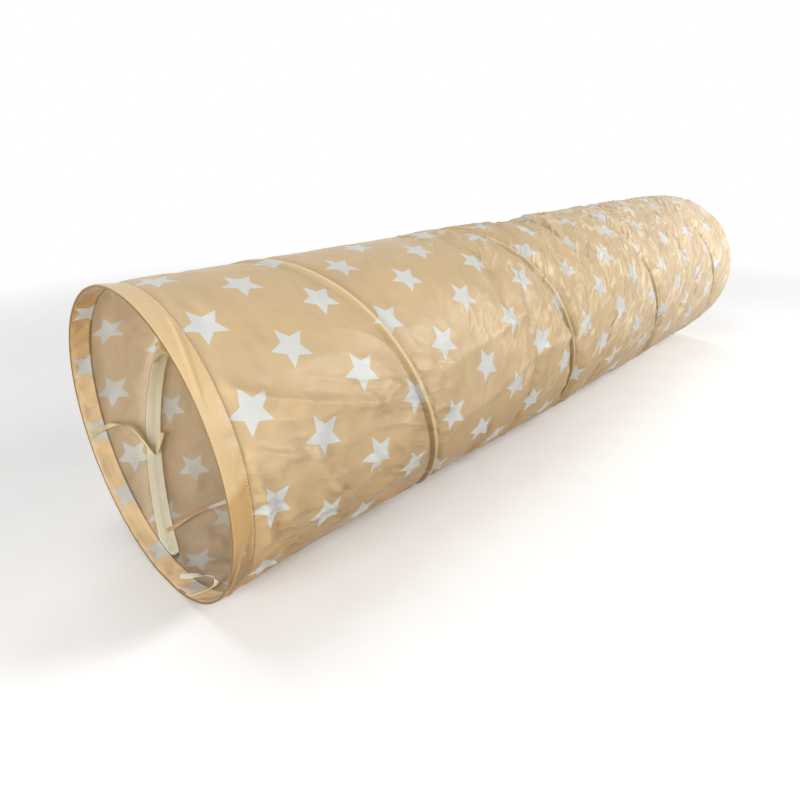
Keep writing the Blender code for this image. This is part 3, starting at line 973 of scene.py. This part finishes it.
def make_coil():
    """The spiral spring wire."""
    shape = bmesh.new()
    bmesh.ops.create_circle(shape, cap_ends=False, segments=8, radius=WIRE_RADIUS)
    start = around(SLEEVE_START, WIRE_PATH_RADIUS, COIL_START)
    lead = math.atan2(PITCH, math.tau * WIRE_PATH_RADIUS)
    outward = outward_at(COIL_START)
    run = along_coil(outward, lead)
    side = run.cross(outward)
    turn = Matrix((outward, side, run)).transposed().to_4x4()
    bmesh.ops.transform(shape, matrix=Matrix.Translation(start) @ turn, verts=shape.verts)
    bmesh.ops.spin(
        shape, geom=list(shape.verts) + list(shape.edges), cent=(0, 0, AXIS_HEIGHT), axis=(1, 0, 0),
        dvec=(PITCH / COIL_STEPS, 0, 0), angle=math.tau * TURNS, steps=COIL_STEPS * TURNS, use_duplicate=False,
    )
    open_ends = [e for e in shape.edges if e.is_boundary]
    bmesh.ops.holes_fill(shape, edges=open_ends, sides=16)
    bmesh.ops.recalc_face_normals(shape, faces=shape.faces)
    for vertex in shape.verts:
        vertex.co = pressed(vertex.co)
        vertex.co.x = min(max(vertex.co.x, SLEEVE_START), SLEEVE_END)
    item = finished("coil_wire", shape, [spring_steel])
    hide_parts(*[f"spring_wire_turn_{n}" for n in range(1, TURNS + 1)])
    folds_up(item)


make_tape()
make_coil()


# Hems
HEM_STEPS = 288
OUTER_ROWS = 20
RIM_ROWS = 6
FACING_ROWS = 14


def hem_profile():
    """Places on the turned-over cloth: distance from the rim, radius, and distance along the cloth."""
    middle = TUNNEL_RADIUS - RIM_FOLD
    places = []
    for k in range(OUTER_ROWS):
        run = HEM_REACH - (HEM_REACH - RIM_FOLD) * k / OUTER_ROWS
        share = run / HEM_LENGTH
        places.append((run, TUNNEL_RADIUS - HEM_TAPER * share ** 1.5, run))
    for k in range(RIM_ROWS + 1):
        angle = math.pi * k / RIM_ROWS
        radius = middle + RIM_FOLD * math.cos(angle)
        places.append((RIM_FOLD * (1 - math.sin(angle)), radius, RIM_FOLD - math.pi * RIM_FOLD * k / RIM_ROWS))
    start = RIM_FOLD - math.pi * RIM_FOLD
    bottom = middle - RIM_FOLD
    for k in range(1, FACING_ROWS + 1):
        share = k / FACING_ROWS
        run = RIM_FOLD + (HEM_LENGTH - RIM_FOLD) * share
        radius = bottom + (FACING_RADIUS - bottom) * rise(0, 0.3, share)
        places.append((run, radius, start - (run - RIM_FOLD)))
    return places


HEM_FOLDS = (
    # height, half width, then places as degrees and share of the hem's length from the rim
    (-0.0016, 0.0040, (183, 0.97), (190, 0.88), (196, 0.66), (201, 0.50)),
    (0.0022, 0.0030, (190, 0.62), (196, 0.46), (201, 0.30), (208, 0.26), (216, 0.20)),
    (-0.0014, 0.0030, (196, 0.28), (204, 0.12), (214, 0.08)),
    (0.0020, 0.0028, (199, 0.86), (208, 0.78), (216, 0.60), (226, 0.48), (240, 0.40)),
    (-0.0012, 0.0026, (205, 0.62), (214, 0.46), (226, 0.34)),
    (0.0014, 0.0050, (112, 0.96), (122, 0.80), (132, 0.52), (146, 0.26)),
    (-0.0012, 0.0050, (118, 0.96), (128, 0.82), (138, 0.56), (152, 0.30)),
    (0.0012, 0.0040, (166, 0.10), (170, 0.45), (174, 0.90)),
)


def hem_fold(share, degrees):
    """How far the bunched folds of the front hem stand out at this place."""
    total = 0.0
    for height, half_width, *places in HEM_FOLDS:
        for (a1, s1), (a2, s2) in zip(places, places[1:]):
            if not a1 <= degrees < a2:
                continue
            middle = s1 + (s2 - s1) * (degrees - a1) / (a2 - a1)
            gap = abs(share - middle) * HEM_LENGTH
            ends = rise(places[0][0], places[0][0] + 5, degrees)
            ends *= 1 - rise(places[-1][0] - 5, places[-1][0], degrees)
            total += height * ends * max(1 - gap / half_width, 0) ** 1.2
    return total


def hem_shift(rim_x, run, along, degrees, gathered):
    """How far the hem cloth stands off its even round."""
    here = around(0, SLEEVE_RADIUS, degrees)
    share = run / HEM_LENGTH
    slow = noise((rim_x, here.y * 9, here.z * 9))
    quick = noise((rim_x + run * 22, here.y * 44, here.z * 44))
    if along > 0:
        seam = noise((rim_x * 3, here.y * 95, here.z * 95))
        lower = hump(120, 170, 330, 350, degrees)
        shift = 0.0010 * slow * min(share, 1)
        shift += 0.0026 * min(quick, 0.15) * math.sin(math.pi * min(share, 1)) ** 0.6
        shift += (0.0008 + 0.0012 * lower) * seam * rise(0.55, 0.80, share) * (1 - rise(0.96, 1.0, share))
        if gathered:
            shift += hem_fold(share, degrees) * rise(0.03, 0.12, share) * (1 - rise(0.97, 1.0, share))
        return shift
    if run <= 0.003:
        return 0.0
    ripple = max(1 - 3.2 * abs(noise((rim_x + run * 14, here.y * 26, here.z * 26))), 0)
    return (0.0015 * ripple + 0.0006 * max(slow, 0)) * rise(0.10, 0.4, share) * (1 - 0.6 * rise(0.7, 1.0, share))


def make_hem(name, node, rim_x, inward, body, gathered):
    """The cloth turned over the hoop at one mouth."""
    places = hem_profile()
    shape = bmesh.new()
    order = shape.verts.layers.int.new("order")
    uv = shape.loops.layers.uv.new("UVMap")
    chain = [shape.verts.new(around(rim_x + inward * run, radius, 0)) for run, radius, _ in places]
    edges = [shape.edges.new(pair) for pair in zip(chain, chain[1:])]
    for index, vertex in enumerate(chain):
        vertex[order] = index
    bmesh.ops.spin(
        shape, geom=chain + edges, cent=(0, 0, AXIS_HEIGHT), axis=(1, 0, 0), angle=math.tau,
        steps=HEM_STEPS, use_merge=True, use_duplicate=False,
    )
    for face in shape.faces:
        degrees = [angle_of(loop.vert.co) for loop in face.loops]
        for loop, value in zip(face.loops, degrees):
            if max(degrees) - min(degrees) > 180 and value < 180:
                value += 360
            along = places[loop.vert[order]][2]
            if inward < 0:
                along = TUNNEL_LENGTH - along
            loop[uv].uv = (along, value / 360 * STARS_ROUND)
    for vertex in shape.verts:
        run, radius, along = places[vertex[order]]
        degrees = angle_of(vertex.co)
        shift = hem_shift(rim_x, run, along, degrees, gathered)
        loose_edge = noise((rim_x, vertex.co.y * 60, vertex.co.z * 60))
        x = vertex.co.x + inward * 0.0007 * (1 + loose_edge) * rise(0.024, HEM_REACH, along)
        vertex.co = pressed(around(x, radius + shift, degrees))
        vertex.co.z = max(vertex.co.z, 0.0)
    bmesh.ops.recalc_face_normals(shape, faces=shape.faces)
    face_outwards(shape)
    area = sum(f.calc_area() for f in shape.faces)
    item = finished(name, shape, [hem_outside, hem_reverse], body)
    thicken(item, CLOTH_THICKNESS, reverse=1)
    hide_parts(node)
    width = area / (math.tau * SLEEVE_RADIUS)


make_hem("front_hem_cloth", "front_hem", FRONT_X, 1, "front_end", gathered=True)
make_hem("rear_hem_cloth", "rear_hem", REAR_X, -1, "rear_end", gathered=False)


# Stitches
SEAM_STITCHES_BESIDE = 0.0124
SEAM_STITCH_RADIUS = SEAM_RADIUS + 0.0003
TAPE_STITCH_RADIUS = TAPE_RADIUS - CLOTH_THICKNESS


def stitch_row(places, length, thickness):
    """Short threads, from places with their direction along the row and the one outwards."""
    shape = bmesh.new()
    for place, ahead, outward in places:
        thread = bmesh.ops.create_icosphere(shape, subdivisions=1, radius=0.5)
        side = ahead.cross(outward).normalized()
        turn = Matrix((ahead, side, outward)).transposed().to_4x4()
        size = Matrix.Diagonal((length, thickness, thickness, 1))
        bmesh.ops.transform(shape, matrix=Matrix.Translation(place) @ turn @ size, verts=thread["verts"])
    return shape


def seam_stitches(name, rim_x, inward, body):
    """The zigzag that holds the hem down."""
    count = 340
    places = []
    for k in range(count):
        degrees = 360 * k / count
        run = 0.0284 + 0.0010 * (k % 2)
        radius = TUNNEL_RADIUS - HEM_TAPER * (run / HEM_LENGTH) ** 1.5
        radius += hem_shift(rim_x, run, run, degrees, inward > 0) + 0.0002
        place = pressed(around(rim_x + inward * run, radius, degrees))
        outward = outward_at(degrees)
        ahead = Vector((0.55 * (1 if k % 2 else -1), -outward.z, outward.y)).normalized()
        places.append((place, ahead, outward))
    item = finished(name, stitch_row(places, 0.0030, 0.0008), [cream_thread], body)


def coil_stitches(name, beside, radius, thread, length):
    """A row of stitches along one edge of the casing."""
    per_turn = 260
    lead = math.atan2(PITCH, math.tau * SLEEVE_RADIUS)
    places = []
    for k in range(per_turn * TURNS):
        turned = k / per_turn
        degrees = COIL_START + 360 * turned
        x = SLEEVE_START + PITCH * turned + beside
        if not SLEEVE_START + 0.001 < x < SLEEVE_END - 0.001:
            continue
        outward = outward_at(degrees)
        places.append((pressed(around(x, radius, degrees)), along_coil(outward, lead), outward))
    item = finished(name, stitch_row(places, length, 0.0006), [thread])
    folds_up(item)


seam_stitches("front_hem_stitches", FRONT_X, 1, "front_end")
seam_stitches("rear_hem_stitches", REAR_X, -1, "rear_end")
coil_stitches("casing_stitches_front", -SEAM_STITCHES_BESIDE, SEAM_STITCH_RADIUS, brown_thread, 0.0027)
coil_stitches("casing_stitches_rear", SEAM_STITCHES_BESIDE, SEAM_STITCH_RADIUS, brown_thread, 0.00324)
coil_stitches("tape_stitches_front", -TAPE_STITCHES_BESIDE, TAPE_STITCH_RADIUS, cream_thread, 0.00324)
coil_stitches("tape_stitches_rear", TAPE_STITCHES_BESIDE, TAPE_STITCH_RADIUS, cream_thread, 0.00324)


# Hoops
for node in ("front_hoop_wire", "front_hoop_ferrule", "rear_hoop_wire", "rear_hoop_ferrule"):
    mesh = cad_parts[node].data
    mesh.materials.clear()
    mesh.materials.append(spring_steel)


# Floor and light
def make_floor():
    """A pale floor that fades into the white behind it."""
    shape = bmesh.new()
    bmesh.ops.create_grid(shape, x_segments=1, y_segments=1, size=8.0)
    bmesh.ops.translate(shape, verts=shape.verts, vec=(0, 0, -0.0004))
    item = add_mesh("pale_floor", shape)
    shape.free()
    material, tree = new_material("pale_floor")
    place = made(tree, "ShaderNodeTexCoord", "Object")
    length = tree.nodes.new("ShaderNodeVectorMath")
    length.operation = "LENGTH"
    far = ramp(Value(fill(length, {0: place}).outputs["Value"]) / 5.0, (0.24, 0.0), (0.50, 1.0))
    pale = ramp(speckle(place, 14.0, 3.0), (0.3, 0.93), (0.7, 0.95))
    seen = made(tree, "ShaderNodeLightPath", "Is Camera Ray")
    matt = made(tree, "ShaderNodeBsdfDiffuse", 0, {"Color": blend_colours(seen, colour(214, 212, 208), pale)})
    white = made(tree, "ShaderNodeEmission", 0, {"Strength": 1.0})
    show(made(tree, "ShaderNodeMixShader", 0, {"Fac": far, 1: matt, 2: white}))
    item.data.materials.append(material)


def soft_lamp(name, place, target, size, power, glossy=True):
    """A round lamp aimed at its target."""
    data = bpy.data.lights.new(name, "AREA")
    data.shape = "DISK"
    data.size = size
    data.energy = power
    lamp = add_object(name, data)
    lamp.location = place
    lamp.visible_glossy = glossy
    lamp.rotation_euler = (Vector(target) - Vector(place)).to_track_quat("-Z", "Y").to_euler()


def make_world():
    """A soft fill light, and white where the background is seen."""
    world = bpy.data.worlds.new("studio")
    bpy.context.scene.world = world
    world.use_nodes = True
    tree = world.node_tree
    tree.nodes.clear()
    path = tree.nodes.new("ShaderNodeLightPath")
    seen = maths("MAXIMUM", Value(path.outputs["Is Camera Ray"]), Value(path.outputs["Is Glossy Ray"]))
    seen = maths("MAXIMUM", seen, Value(path.outputs["Is Transmission Ray"]))
    soft = made(tree, "ShaderNodeBackground", 0, {"Color": (1.0, 0.985, 0.96, 1), "Strength": 0.28})
    white = made(tree, "ShaderNodeBackground", 0, {"Color": (1, 1, 1, 1), "Strength": 1.0})
    mix = made(tree, "ShaderNodeMixShader", 0, {"Fac": seen, 1: soft, 2: white})
    fill(tree.nodes.new("ShaderNodeOutputWorld"), {"Surface": mix})


make_floor()
make_world()
soft_lamp("window_lamp", (1.2, -2.1, 1.8), (0, 0, 0.2), 1.0, 60)
soft_lamp("back_lamp", (1.9, 2.3, 1.2), (0, 0, 0.2), 1.6, 30, glossy=False)
soft_lamp("overhead_lamp", (-0.9, 0.4, 2.6), (-0.5, 0, 0.2), 1.4, 16)
soft_lamp("front_lamp", (-2.7, -0.7, 0.65), (-0.7, 0.08, 0.2), 1.3, 47)

scene = bpy.context.scene
scene.view_settings.view_transform = "Standard"
